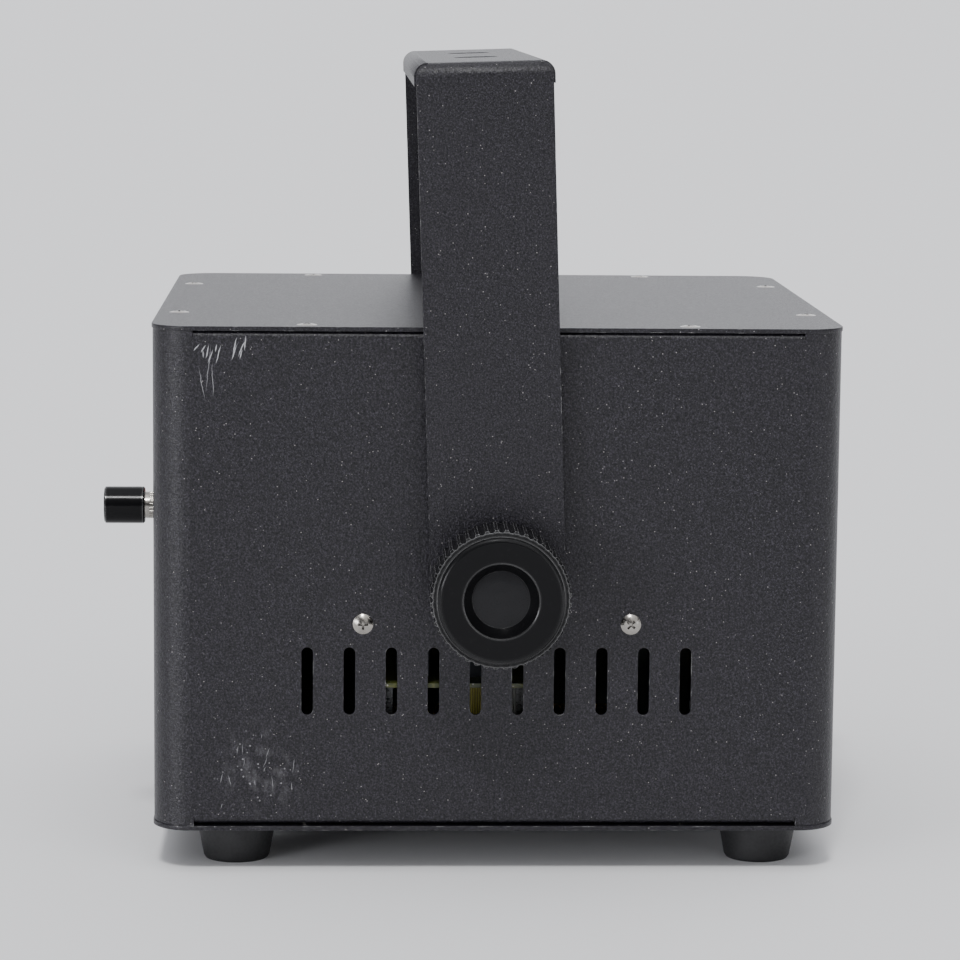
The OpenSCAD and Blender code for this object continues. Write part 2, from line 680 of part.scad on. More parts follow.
module filler_cap() color("#141416") on_rear(neck_at) difference() {
    union() {
        translate([0, 0, cap_back]) cylinder(h = cap_face - cap_back - 1, r = cap_r);
        translate([0, 0, cap_face - 1]) cylinder(h = 1, r1 = cap_r, r2 = cap_r - 1);
    }
    translate([0, 0, cap_back - cut]) cylinder(h = neck_end + 1.1 - cap_back + cut, r = neck_r + run);
    for (i = [0 : 17]) rotate([0, 0, i * 20]) translate([cap_r + 0.5, 0, 0])
        cylinder(h = 200, r = 1.4, $fn = 24);
}

// A flexible tube: a bent rod with a bent bore
module flexible_tube(points) difference() {
    bent_rod(points, tube_r);
    bent_rod(points, barb_r + run);
}

module suction_tube() color("#c9c6b4")
    flexible_tube([[tank_x0 - 2, tube_y, spout_z], [pump_x, tube_y, spout_z], [pump_x, tube_y, pump_z],
        [pump_x, 41, pump_z]]);

module delivery_tube() color("#c9c6b4")
    flexible_tube([[pump_x, -47, pump_z], [pump_x, -85, pump_z], [-45, -85, pump_z], [-45, -85, heater_z],
        [-45, 74, heater_z], [heater_x, 74, heater_z], [heater_x, heater_rear + 8, heater_z]]);

// ---------- electronics ----------

module control_board() color("#3d4a1f") difference() {
    translate([board_x0, board_y0, board_z]) cube([board_w, board_l, 1.6]);
    for (p = standoffs_at) translate([p[0], p[1], board_z - cut]) cylinder(h = 4, r = 1.6);
}

// The outer standoffs stand on the shell's bottom flange, the inner ones on the base plate
module board_standoffs() color("#b9bcbe")
    for (p = standoffs_at) {
        foot_z = wall_low + (p[0] < -wall_w + flange_w ? bottom_gap + sheet_t + tiny : 0);
        translate([p[0], p[1], foot_z]) cylinder(h = board_z - tiny - foot_z, r = 2.8, $fn = 6);
    }

// Transformer, relay, two capacitors, terminal block and heater terminals
module board_components() color("#30343a") translate([0, 0, board_z + 1.6 + tiny]) {
    translate([-102, 0, 0]) cube([20, 18, 15]);
    translate([-100, 24, 0]) cube([28, 12, 11]);
    for (y = [-7, 8]) translate([-73, y, 0]) cylinder(h = 18, r = 5);
    translate([-64, -13, 0]) cube([14, 8, 9]);
    translate([-62, 22, 0]) cube([16, 14, 3]);
}

// The wires from the inlet to the switch and from the switch to the board
module mains_wires() color("#7a2a22") {
    bent_rod([[inlet_at[0] - 7, 96, inlet_at[1] - 3], [inlet_at[0] - 7, 86, inlet_at[1] - 3],
        [switch_at[0] + 4, 86, inlet_at[1] - 3], [switch_at[0] + 4, 105, inlet_at[1] - 3]], 1.3);
    bent_rod([[switch_at[0] - 4, 105, switch_at[1] + 4], [switch_at[0] - 4, 80, switch_at[1] + 4],
        [-57, 80, switch_at[1] + 4], [-57, 80, board_z + 14], [-57, -9, board_z + 14],
        [-57, -9, board_z + 10.8]], 1.3);
}

// The wires from the heating cartridges to the board
module heater_wires() color("#c8c2b0")
    for (s = [-1, 1]) {
        from_x = heater_x + s * cartridge_x;
        to_x = -51 - 2 * s;
        turn_y = heater_rear + 18 + 4 * s;
        z = heater_z - cartridge_drop;
        bent_rod([[from_x, heater_rear + 9, z], [from_x, turn_y, z], [to_x, turn_y, z], [to_x, 29, z],
            [to_x, 29, board_z + 4.8]], 1.2);
    }

// ---------- controls ----------

// Puts what points up onto the rear panel at the place p, facing the rear
module on_rear(p) translate([p[0], 0, p[1]]) face_rear() children();

module potentiometer() color("#8d8f90") on_rear(knob_at) difference() {
    union() {
        translate([0, 0, panel_in - 11]) cylinder(h = 11 - tiny, r = 8);
        translate([0, 0, panel_in - 1]) cylinder(h = knob_back - panel_in - 0.5, r = 3.5);
    }
    translate([0, 0, panel_in - 9]) cylinder(h = 40, r = 3 + run);
}

module potentiometer_nut() color("silver") on_rear(knob_at) difference() {
    translate([0, 0, panel_out + tiny]) cylinder(h = knob_back - panel_out - 0.2, r = 4.95);
    translate([0, 0, panel_out - cut]) cylinder(h = 20, r = 3.5 + run);
    for (i = [0 : 23]) rotate([0, 0, i * 15])
        translate([5.15, 0, panel_out + 0.8]) cylinder(h = 3.6, r = 0.4, $fn = 16);
}

module potentiometer_shaft() color("silver") on_rear(knob_at)
    translate([0, 0, panel_in - 8]) cylinder(h = half_l + overhang - 4 - panel_in + 8, r = 3);

module output_knob() color("#141416") on_rear(knob_at) difference() {
    union() {
        translate([0, 0, knob_back]) cylinder(h = 0.5, r1 = output_d / 2 - 0.5, r2 = output_d / 2);
        translate([0, 0, knob_back + 0.5]) cylinder(h = half_l + overhang - knob_back - 1, r = output_d / 2);
        translate([0, 0, half_l + overhang - 0.5]) cylinder(h = 0.5, r1 = output_d / 2, r2 = output_d / 2 - 0.5);
    }
    translate([0, 0, knob_back - cut]) cylinder(h = half_l + overhang - knob_back + cut - 3.9, r = 3 + 0.02);
    translate([-0.5, -output_d / 2 - cut, half_l + overhang - 0.6]) cube([1, output_d / 2 - 1, 2]);
}

module button_housing() color("silver") on_rear(button_at) difference() {
    union() {
        translate([0, 0, panel_out + tiny]) cylinder(h = 2, r = 8);
        translate([0, 0, panel_in - 18]) cylinder(h = 21, r = 6.5);
    }
    translate([0, 0, panel_in - 15]) cylinder(h = 30, r = 5.2 + run);
}

module manual_button() color("#8c1a14") on_rear(button_at) {
    translate([0, 0, panel_in - 10]) cylinder(h = 14.6, r = 5.2);
    translate([0, 0, panel_in + 4.6 - tiny]) cylinder(h = 0.7, r1 = 5.2, r2 = 4.5);
}

module ready_lamp() color("#2f8f3a") on_rear(lamp_at) {
    translate([0, 0, panel_in - 12]) cylinder(h = 14, r = 4);
    translate([0, 0, panel_out + tiny]) cylinder(h = 0.8, r = 5);
    translate([0, 0, panel_out + 0.5]) intersection() {
        cylinder(h = 3, r = 3);
        translate([0, 0, -1.2]) sphere(r = 3.6);
    }
}

module switch_frame() color("#141416") translate([switch_at[0], 0, switch_at[1]]) difference() {
    union() {
        translate([-10.5, panel_out + tiny, -13.5]) cube([21, 2, 27]);
        translate([-8, panel_in - 16, -11]) cube([16, 19, 22]);
    }
    translate([-6, panel_in - 12, -9.9]) cube([12, 30, 19.8]);
    translate([0, rocker_y, 0]) face_right() cylinder(h = 15.2, r = rocker_pin_r + run, center = true);
}

// The rocker turns on a pin along X, just inside the panel
module power_rocker() color("#8c1a14") translate([switch_at[0], rocker_y, switch_at[1]]) {
    face_right() cylinder(h = 15, r = rocker_pin_r, center = true);
    rotate([rocker_tilt, 0, 0]) rotate([0, -90, 0]) translate([0, 0, -5.8])
        linear_extrude(11.6) polygon([[-7.5, -4], [-8.6, 6.5], [0, 4.4], [8.6, 6.5], [7.5, -4]]);
}

// The three blades of the mains inlet, wider by gap all round
module inlet_blades(gap) for (p = [[-7, -3], [7, -3], [0, 1]])
    translate([inlet_at[0] + p[0] - 1 - gap, panel_in - 24 - gap, inlet_at[1] + p[1] - 2 - gap])
        cube([2 + 2 * gap, 23 + 2 * gap, 4 + 2 * gap]);

// The three pins of the remote socket, wider by gap all round
module socket_pins(gap) for (a = [-45, 45, 180])
    translate([socket_at[0] + 5 * sin(a), panel_in - 18 - gap, socket_at[1] - 5 * cos(a)])
        face_rear() cylinder(h = 16 + 2 * gap, r = 1.2 + gap);

module mains_inlet() color("#141416") difference() {
    translate([inlet_at[0], 0, inlet_at[1]]) difference() {
        union() {
            translate([-24.5, panel_out + tiny, -13.5]) cube([49, 2.6, 27]);
            translate([-14, panel_in - 20, -11]) cube([28, 24, 22]);
        }
        translate([-12, panel_in - 12, -8.5]) cube([24, 30, 12]);
        translate([-9, panel_in - 12, 4.4]) cube([18, 30, 5.2]);
        for (s = [-1, 1]) translate([s * 20, panel_out, 0]) {
            face_rear() cylinder(h = 12, r = 1.6, center = true);
            face_rear() translate([0, 0, 1.2]) cylinder(h = 1.5, r1 = 1.6, r2 = 3.1);
        }
    }
    inlet_blades(run);
}

// A drawer for the fuse, with a finger lip at its rear end
module fuse_drawer() color("#1c1c1e") translate([inlet_at[0], 0, inlet_at[1]]) difference() {
    union() {
        translate([-8.95, panel_in - 11, 4.45]) cube([17.9, 15.2, 5.1]);
        translate([-6, panel_in + 4.2 - tiny, 4.45]) cube([12, 1.2, 5.1]);
    }
    translate([-7, panel_in - 9, 5.6]) cube([14, 8, 6]);
}

module remote_socket() color("#222224") difference() {
    translate([socket_at[0], 0, socket_at[1]]) difference() {
        union() {
            translate([-13, panel_out + tiny, -15.5]) cube([26, 2, 31]);
            translate([0, panel_in - 14, 0]) face_rear() cylinder(h = 18, r = 11);
        }
        translate([0, panel_in - 11, 0]) face_rear() cylinder(h = 30, r = 9.2);
        for (s = [-1, 1]) translate([s * 9.5, panel_out, s * 12])
            face_rear() cylinder(h = 12, r = 1.6, center = true);
    }
    socket_pins(run);
}

module connector_contacts() color("#c8b05a") {
    inlet_blades(0);
    socket_pins(0);
}

base_plate();
top_plate();
left_side_shell();
right_side_shell();
front_panel();
rear_panel();
plate_screws();
panel_screws();
side_screws();
pivot_plates();
rubber_feet();
foot_screws();
yoke();
friction_discs();
left_clamp_washer();
right_clamp_washer();
left_clamp_knob();
right_clamp_knob();
left_clamp_stud();
right_clamp_stud();
left_knob_cap();
right_knob_cap();
heater_block();
heater_elements();
heater_insulation();
heater_cradle();
heater_straps();
heater_inlet();
thermostats();
nozzle();
outlet_ring();
outlet_ring_screws();
pump_cylinder();
pump_coil();
pump_frame();
pump_plunger();
pump_mounts();
fluid_tank();
filler_cap();
cap_seal();
suction_tube();
delivery_tube();
control_board();
board_components();
board_standoffs();
mains_wires();
heater_wires();
potentiometer();
potentiometer_nut();
potentiometer_shaft();
output_knob();
button_housing();
manual_button();
ready_lamp();
switch_frame();
power_rocker();
mains_inlet();
fuse_drawer();
remote_socket();
connector_contacts();
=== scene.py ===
"""Looks for the compact stage fog machine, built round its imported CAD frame."""

import math
import random

import bmesh
import bpy
from mathutils import Matrix, Vector, noise


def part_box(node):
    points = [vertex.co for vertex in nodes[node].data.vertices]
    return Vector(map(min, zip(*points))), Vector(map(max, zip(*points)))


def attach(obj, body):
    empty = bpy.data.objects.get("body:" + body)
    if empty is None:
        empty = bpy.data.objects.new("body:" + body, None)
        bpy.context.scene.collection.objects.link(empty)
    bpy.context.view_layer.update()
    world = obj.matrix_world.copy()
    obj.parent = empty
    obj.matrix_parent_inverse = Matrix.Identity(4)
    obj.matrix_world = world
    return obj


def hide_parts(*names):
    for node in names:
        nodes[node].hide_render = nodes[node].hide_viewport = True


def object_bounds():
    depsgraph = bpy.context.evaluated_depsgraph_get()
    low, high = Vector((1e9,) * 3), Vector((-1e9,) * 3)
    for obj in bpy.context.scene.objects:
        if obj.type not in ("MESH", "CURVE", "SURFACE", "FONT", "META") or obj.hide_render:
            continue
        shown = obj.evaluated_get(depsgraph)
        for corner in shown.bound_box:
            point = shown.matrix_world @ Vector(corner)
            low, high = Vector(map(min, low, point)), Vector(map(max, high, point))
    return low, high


MM = 0.001
FAR = 4000              # metres, the floor's size and the camera's reach
WAVE_PERIOD = 0.314     # metres between a Wave Texture's bands at scale 1

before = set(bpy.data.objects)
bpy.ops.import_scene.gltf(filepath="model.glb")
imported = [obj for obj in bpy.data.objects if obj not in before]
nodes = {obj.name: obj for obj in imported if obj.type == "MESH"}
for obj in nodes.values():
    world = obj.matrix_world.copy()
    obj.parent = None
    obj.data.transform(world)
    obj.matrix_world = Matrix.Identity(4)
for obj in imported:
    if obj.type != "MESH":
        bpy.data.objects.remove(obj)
cad_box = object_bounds()


# ---------- node helpers ----------

class Shader:
    """A node material with short calls for the nodes it uses."""

    def __init__(self, name):
        self.material = bpy.data.materials.new(name)
        self.material.use_nodes = True
        self.tree = self.material.node_tree
        self.bsdf = self.tree.nodes["Principled BSDF"]
        self.coords = self.tree.nodes.new("ShaderNodeTexCoord").outputs["Object"]

    def link(self, value, socket):
        """Puts a value, or another node's output, into a socket."""
        if isinstance(value, bpy.types.NodeSocket):
            self.tree.links.new(value, socket)
        else:
            socket.default_value = value

    def set(self, **inputs):
        """Sets inputs of the Principled BSDF, with _ in place of a space."""
        for key, value in inputs.items():
            self.link(value, self.bsdf.inputs[key.replace("_", " ")])

    def math(self, operation, a, b):
        n = self.tree.nodes.new("ShaderNodeMath")
        n.operation = operation
        self.link(a, n.inputs[0])
        self.link(b, n.inputs[1])
        return n.outputs[0]

    def vector(self, operation, a, b):
        """Vector arithmetic; SCALE takes a number as b, and three operations give a number."""
        n = self.tree.nodes.new("ShaderNodeVectorMath")
        n.operation = operation
        self.link(a, n.inputs[0])
        self.link(b, n.inputs["Scale" if operation == "SCALE" else 1])
        return n.outputs["Value" if operation in ("LENGTH", "DISTANCE", "DOT_PRODUCT") else "Vector"]

    def mapping(self, scale, rotation=(0, 0, 0)):
        n = self.tree.nodes.new("ShaderNodeMapping")
        self.link(self.coords, n.inputs["Vector"])
        n.inputs["Scale"].default_value = scale
        n.inputs["Rotation"].default_value = rotation
        return n.outputs[0]

    def noise(self, size, detail=2.0, vector=None):
        """Noise with features of about this size in metres."""
        n = self.tree.nodes.new("ShaderNodeTexNoise")
        self.link(vector if vector is not None else self.coords, n.inputs["Vector"])
        n.inputs["Scale"].default_value = 1 / size
        n.inputs["Detail"].default_value = detail
        return n.outputs["Fac"]

    def cells(self, size, vector=None, feature="F1"):
        """Distance to the nearest of scattered points this far apart, or to the cells' borders."""
        n = self.tree.nodes.new("ShaderNodeTexVoronoi")
        n.feature = feature
        self.link(vector if vector is not None else self.coords, n.inputs["Vector"])
        n.inputs["Scale"].default_value = 1 / size
        return n.outputs["Distance"]

    def wave(self, size, direction, distortion=0.0):
        """Straight bands that repeat at about this size, in metres."""
        n = self.tree.nodes.new("ShaderNodeTexWave")
        n.bands_direction = direction
        self.link(self.coords, n.inputs["Vector"])
        n.inputs["Scale"].default_value = WAVE_PERIOD / size
        n.inputs["Distortion"].default_value = distortion
        return n.outputs["Fac"]

    def remap(self, value, low, high, out_low=0.0, out_high=1.0):
        """Turns one range into another, and holds at its ends."""
        n = self.tree.nodes.new("ShaderNodeMapRange")
        self.link(value, n.inputs["Value"])
        n.inputs["From Min"].default_value = low
        n.inputs["From Max"].default_value = high
        n.inputs["To Min"].default_value = out_low
        n.inputs["To Max"].default_value = out_high
        return n.outputs[0]

    def mix(self, factor, a, b):
        n = self.tree.nodes.new("ShaderNodeMix")
        n.data_type = "RGBA"
        self.link(factor, n.inputs[0])
        self.link(rgba(a), n.inputs[6])
        self.link(rgba(b), n.inputs[7])
        return n.outputs[2]

    def bump(self, height, depth, strength):
        n = self.tree.nodes.new("ShaderNodeBump")
        n.inputs["Strength"].default_value = strength
        n.inputs["Distance"].default_value = depth
        self.link(height, n.inputs["Height"])
        return n.outputs[0]

    def edges(self, radius):
        """0 on flat faces, rising to about 1 on edges sharper than this radius."""
        bevel = self.tree.nodes.new("ShaderNodeBevel")
        bevel.samples = 4
        bevel.inputs["Radius"].default_value = radius
        geometry = self.tree.nodes.new("ShaderNodeNewGeometry")
        agreement = self.vector("DOT_PRODUCT", bevel.outputs[0], geometry.outputs["Normal"])
        return self.remap(agreement, 0.995, 0.8)

    def cavity(self, distance):
        """1 deep in a recess, 0 in the open."""
        n = self.tree.nodes.new("ShaderNodeAmbientOcclusion")
        n.samples = 6
        n.inputs["Distance"].default_value = distance
        return self.remap(n.outputs["AO"], 0.85, 0.35)

    def near(self, centre, radius):
        """1 at a point and close round it, fading to 0 at the radius."""
        return self.remap(self.vector("DISTANCE", self.coords, centre), radius, radius * 0.35)


def rgba(colour):
    """A colour with its alpha added, or anything else as it is."""
    return (*colour, 1.0) if isinstance(colour, tuple) and len(colour) == 3 else colour


# ---------- materials ----------

def scratch_mask(s, strokes):
    """Each stroke's strength along a thin streak with tapered ends, on a wall that faces -X."""
    sway_size = 5 * MM
    sway_depth = 1.6 * MM
    bend = s.tree.nodes.new("ShaderNodeTexNoise")
    bend.inputs["Scale"].default_value = 1 / sway_size
    s.link(s.coords, bend.inputs["Vector"])
    sway = s.vector("SCALE", s.vector("SUBTRACT", bend.outputs["Color"], (0.5, 0.5, 0.5)), sway_depth)
    wavy = s.vector("ADD", s.coords, sway)
    mask = 0.0
    for place, lean, length, width, strength in strokes:
        local = s.tree.nodes.new("ShaderNodeMapping")
        local.vector_type = "TEXTURE"
        s.link(wavy, local.inputs["Vector"])
        local.inputs["Location"].default_value = place
        local.inputs["Rotation"].default_value = (lean, 0, 0)
        local.inputs["Scale"].default_value = (1, width, length / 2)
        streak = s.remap(s.vector("LENGTH", local.outputs[0], (0, 0, 0)), 1.0, 0.5, 0.0, strength)
        mask = s.math("MAXIMUM", streak, mask)
    return mask


def powder_coat(name="powder_coat", strokes=(), dust=()):
    """Black fine-textured paint with pale grains, worn edges and optional scratches and smeared dust."""
    s = Shader(name)
    dark_paint = (0.0062, 0.0056, 0.0080)
    light_paint = (0.0090, 0.0082, 0.0116)
    pale_grain = (0.042, 0.038, 0.050)
    dark_grain = (0.002, 0.002, 0.003)
    speck = (0.34, 0.32, 0.32)
    bare_edge = (0.33, 0.33, 0.33)
    dust_grey = (0.42, 0.41, 0.43)
    scratch_grey = (0.50, 0.50, 0.52)
    colour = s.mix(s.noise(30 * MM, 3), dark_paint, light_paint)
    grain = s.noise(0.55 * MM, 1)
    fine = s.noise(0.30 * MM, 1)
    colour = s.mix(s.remap(grain, 0.52, 0.72, 0.0, 0.80), colour, pale_grain)
    colour = s.mix(s.remap(grain, 0.48, 0.32, 0.0, 0.85), colour, dark_grain)
    patches = s.remap(s.noise(3 * MM, 1), 0.52, 0.60)
    specks = s.math("MULTIPLY", s.remap(s.cells(1.7 * MM), 0.15, 0.08), patches)
    colour = s.mix(s.math("MULTIPLY", specks, 0.8), colour, speck)
    wear = s.math("MULTIPLY", s.edges(0.5 * MM), s.remap(s.noise(4 * MM, 3), 0.56, 0.66))
    colour = s.mix(s.math("MULTIPLY", wear, 0.8), colour, bare_edge)
    for centre, radius in dust:
        smear = s.remap(s.noise(3.2 * MM, 5, s.mapping(scale=(1.0, 1.0, 0.6))), 0.50, 0.75, 0.0, 0.13)
        dots = s.math("MULTIPLY", s.remap(s.cells(2.6 * MM), 0.16, 0.10), 0.5)
        mark = s.math("MULTIPLY", s.math("MAXIMUM", smear, dots), s.near(centre, radius))
        colour = s.mix(mark, colour, dust_grey)
    if strokes:
        colour = s.mix(scratch_mask(s, strokes), colour, scratch_grey)
    s.set(Base_Color=colour)
    s.set(Roughness=s.remap(grain, 0.3, 0.7, 0.34, 0.46))
    s.set(Specular_IOR_Level=s.remap(s.noise(0.9 * MM, 2), 0.3, 0.7, 0.30, 0.52))
    height = s.math("ADD", grain, s.math("MULTIPLY", fine, 0.6))
    height = s.math("ADD", height, s.math("MULTIPLY", s.noise(1.5 * MM, 1), 1.2))
    s.set(Normal=s.bump(height, 0.14 * MM, 0.9))
    return s.material


def gloss_plastic(name, colour, rough):
    """Moulded plastic: slight orange peel, faint dust, uneven rubbing, and pale, shiny edges, their pale
    colour partly wear from rubbing and partly a painted highlight.
    """
    s = Shader(name)
    dust = s.remap(s.noise(1.4 * MM, 4), 0.60, 0.75, 0.0, 0.04)
    paler = tuple(min(1.0, c * 1.5 + 0.06) for c in colour)
    # Edges painted paler: partly wear from rubbing, partly a painted highlight on rims and tooth tips.
    worn_and_highlit_edges = s.edges(0.35 * MM)
    s.set(Base_Color=s.mix(worn_and_highlit_edges, s.mix(dust, colour, paler), tuple(c * 2 + 0.26 for c in colour)))
    rub = s.noise(9 * MM, 4, s.mapping(scale=(1, 4, 1), rotation=(0.4, 0.2, 0)))
    s.set(Roughness=s.remap(rub, 0.3, 0.75, rough, rough + 0.07))
    s.set(Normal=s.bump(s.noise(2.5 * MM, 2), 0.02 * MM, 0.5))
    s.set(Specular_IOR_Level=s.remap(s.edges(1.4 * MM), 0.0, 0.6, 0.13, 1.0))
    return s.material


def satin_plastic(name, colour, rough=0.42):
    """Spark-eroded moulding texture."""
    s = Shader(name)
    s.set(Base_Color=s.mix(s.noise(6 * MM, 3), colour, tuple(c * 1.35 + 0.004 for c in colour)))
    grain = s.noise(0.35 * MM, 2)
    s.set(Roughness=s.remap(grain, 0.3, 0.7, rough - 0.05, rough + 0.1))
    s.set(Normal=s.bump(grain, 0.05 * MM, 0.4), Specular_IOR_Level=0.2)
    return s.material


def rubber(name="foot_rubber", colour=(0.011, 0.011, 0.012)):
    """Matt rubber or fibre with patches of pale bloom."""
    s = Shader(name)
    bloom = s.remap(s.noise(7 * MM, 4), 0.45, 0.75, 0.0, 0.35)
    s.set(Base_Color=s.mix(bloom, colour, tuple(c * 2.2 + 0.01 for c in colour)))
    s.set(Roughness=s.remap(s.noise(1 * MM, 3), 0.3, 0.7, 0.5, 0.68))
    s.set(Normal=s.bump(s.noise(0.6 * MM, 3), 0.06 * MM, 0.4))
    return s.material


def metal(name, colour, rough, grain=(1, 1, 12), stain=0.25, grain_size=2.0):
    """Bare or plated metal with grain, its size in millimetres, uneven tarnish and painted shade darkening
    its recesses.
    """
    s = Shader(name)
    # Painted shade: the colour that recesses are darkened towards, standing in for the shade that falls in
    # them.
    painted_recess_shade = (0.02, 0.018, 0.015)
    tarnish = s.remap(s.noise(5 * MM, 4), 0.4, 0.75, 0.0, stain)
    tint = s.mix(tarnish, colour, tuple(c * 0.5 for c in colour))
    # Painted shade: the cavity mask darkens the colour deep in recesses.
    s.set(Base_Color=s.mix(s.cavity(0.9 * MM), tint, painted_recess_shade), Metallic=1.0)
    lines = s.noise(grain_size * MM, 4, s.mapping(scale=grain))
    s.set(Roughness=s.remap(lines, 0.3, 0.7, rough - 0.08, rough + 0.12))
    s.set(Normal=s.bump(lines, 0.02 * MM, 0.35))
    return s.material


def cast_metal(name, colour):
    """Sand-cast metal: pitted and dull."""
    s = Shader(name)
    pits = s.noise(1.2 * MM, 4)
    s.set(Base_Color=s.mix(pits, tuple(c * 0.7 for c in colour), colour), Metallic=1.0)
    s.set(Roughness=s.remap(pits, 0.3, 0.7, 0.45, 0.62), Normal=s.bump(pits, 0.15 * MM, 0.6))
    return s.material


def woven(name, light, dark, pitch):
    """Woven glass-fibre cloth or sleeve, with the pitch in millimetres."""
    s = Shader(name)
    warp = s.wave(pitch * MM, direction="Y", distortion=0.6)
    weft = s.wave(pitch * MM, direction="DIAGONAL", distortion=0.6)
    weave = s.math("MULTIPLY", warp, weft)
    stain = s.noise(18 * MM, 4)
    colour = s.mix(s.remap(weave, 0.1, 0.8), dark, light)
    s.set(Base_Color=s.mix(s.remap(stain, 0.5, 0.8, 0.0, 0.6), colour, tuple(c * 0.5 for c in dark)))
    s.set(Roughness=0.85, Normal=s.bump(weave, 0.35 * MM, 0.7), Sheen_Weight=0.25)
    return s.material


def taped(name, colour):
    """A winding covered by lacquered tape: turns show as fine ridges."""
    s = Shader(name)
    turns = s.wave(0.9 * MM, direction="Y")
    s.set(Base_Color=s.mix(turns, tuple(c * 0.45 for c in colour), colour))
    s.set(Roughness=s.remap(s.noise(3 * MM), 0.3, 0.7, 0.3, 0.45))
    s.set(Normal=s.bump(turns, 0.2 * MM, 0.8))
    return s.material


def laminated(name):
    """A stack of steel laminations with lacquer between them."""
    s = Shader(name)
    lacquer = (0.16, 0.16, 0.155)
    steel = (0.34, 0.34, 0.32)
    sheets = s.wave(0.7 * MM, direction="Y")
    s.set(Base_Color=s.mix(sheets, lacquer, steel), Metallic=0.3)
    s.set(Roughness=0.5, Normal=s.bump(sheets, 0.1 * MM, 0.6))
    return s.material


def circuit_board(name):
    """Olive board with solder mask, tracks and pads."""
    s = Shader(name)
    solder_mask = (0.07, 0.085, 0.018)
    track = (0.13, 0.14, 0.035)
    pad = (0.65, 0.62, 0.55)
    tracks = s.remap(s.cells(3.2 * MM, s.mapping(scale=(1, 0.6, 1)), "DISTANCE_TO_EDGE"), 0.10, 0.06)
    colour = s.mix(tracks, solder_mask, track)
    pads = s.remap(s.cells(2.5 * MM), 0.16, 0.12)
    s.set(Base_Color=s.mix(pads, colour, pad))
    s.set(Roughness=0.3, Normal=s.bump(tracks, 0.05 * MM, 0.6))
    return s.material


def translucent(name, colour, weight, rough=0.35):
    """Milky blown plastic or silicone, with flow lines."""
    s = Shader(name)
    flow = s.noise(14 * MM, 3, s.mapping(scale=(1, 1, 0.3)))
    s.set(Base_Color=s.mix(flow, tuple(c * 0.85 for c in colour), colour))
    s.set(Transmission_Weight=weight, Roughness=rough, IOR=1.45)
    s.set(Normal=s.bump(s.noise(3 * MM, 2), 0.05 * MM, 0.4))
    return s.material


def lens(name, colour):
    """A moulded lamp lens with fine prisms across it."""
    s = Shader(name)
    prisms = s.wave(0.6 * MM, direction="X")
    s.set(Base_Color=s.mix(prisms, tuple(c * 0.6 for c in colour), colour), Roughness=0.12)
    s.set(Transmission_Weight=0.4, Normal=s.bump(prisms, 0.1 * MM, 0.5))
    s.set(Emission_Color=rgba(colour), Emission_Strength=0.15)
    return s.material


# ---------- finishes of the CAD nodes ----------

def low(name):
    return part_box(name)[0]


def high(name):
    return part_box(name)[1]


side_low, side_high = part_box("left_side_shell")
side_x = side_low[0]
dice = random.Random(892)


def strokes_in(centre, spread_y, spread_z, count, lean, lengths, width, strength):
    """Scratches scattered round a point of the left wall, leaning about lean degrees."""
    lean_spread = 14
    made = []
    for _ in range(count):
        place = centre + Vector((0, dice.uniform(-spread_y, spread_y), dice.uniform(-spread_z, spread_z)))
        angle = math.radians(dice.gauss(lean, lean_spread))
        length = dice.uniform(*lengths)
        made.append((place, angle, length, width, strength))
    return made


def on_left_wall(from_rear, height):
    """A point of the left wall, measured from the shell's rear edge and its bottom."""
    return Vector((side_x, side_high[1] - from_rear, side_low[2] + height))


upper = on_left_wall(25 * MM, 174 * MM)
lower = on_left_wall(39 * MM, 21 * MM)
below_upper = upper - Vector((0, 0, 12 * MM))
STROKES = strokes_in(upper, spread_y=9 * MM, spread_z=2.5 * MM, count=12, lean=22,
                     lengths=(3 * MM, 8 * MM), width=0.26 * MM, strength=0.75)
STROKES += strokes_in(below_upper, spread_y=9 * MM, spread_z=6 * MM, count=3, lean=2,
                      lengths=(12 * MM, 20 * MM), width=0.17 * MM, strength=0.40)
STROKES += strokes_in(lower, spread_y=17 * MM, spread_z=14 * MM, count=14, lean=6,
                      lengths=(1.5 * MM, 6 * MM), width=0.17 * MM, strength=0.32)

paint = powder_coat()
scuffed_paint = powder_coat("powder_coat_scuffed", STROKES, [(lower, 20 * MM)])
knob_plastic = gloss_plastic("knob_plastic", (0.004, 0.004, 0.0045), rough=0.14)
cap_plastic = satin_plastic("knob_cap_plastic", (0.007, 0.007, 0.008), rough=0.30)
socket_plastic = satin_plastic("socket_plastic", (0.014, 0.014, 0.015))
red_plastic = gloss_plastic("red_plastic", (0.42, 0.02, 0.012), rough=0.2)
nickel = metal("nickel", (0.40, 0.38, 0.35), rough=0.2, grain=(1, 1, 1),
               stain=0.6, grain_size=0.8)
zinc = metal("zinc_plate", (0.62, 0.63, 0.65), rough=0.3)
black_oxide = metal("black_oxide", (0.035, 0.035, 0.038), rough=0.38, grain=(1, 1, 1),
                    stain=0.3, grain_size=0.8)
galvanised = metal("galvanised", (0.52, 0.54, 0.56), rough=0.42, grain=(1, 1, 1),
                   stain=0.35, grain_size=9.0)
brass = metal("brass", (0.74, 0.52, 0.20), rough=0.25, grain=(1, 10, 1))
rubber_black = rubber()
seal_rubber = rubber("seal_rubber", (0.20, 0.05, 0.03))
fibre = rubber("friction_fibre", (0.05, 0.042, 0.036))
casting = cast_metal("cast_aluminium", (0.58, 0.59, 0.60))
wrap_cloth = woven("heat_wrap", light=(0.55, 0.44, 0.17), dark=(0.30, 0.22, 0.07), pitch=1.3)
wire_sleeve = woven("wire_sleeve", light=(0.72, 0.68, 0.58), dark=(0.5, 0.46, 0.36), pitch=0.6)
coil_tape = taped("coil_tape", (0.42, 0.37, 0.06))
laminations = laminated("laminations")
board_finish = circuit_board("circuit_board")
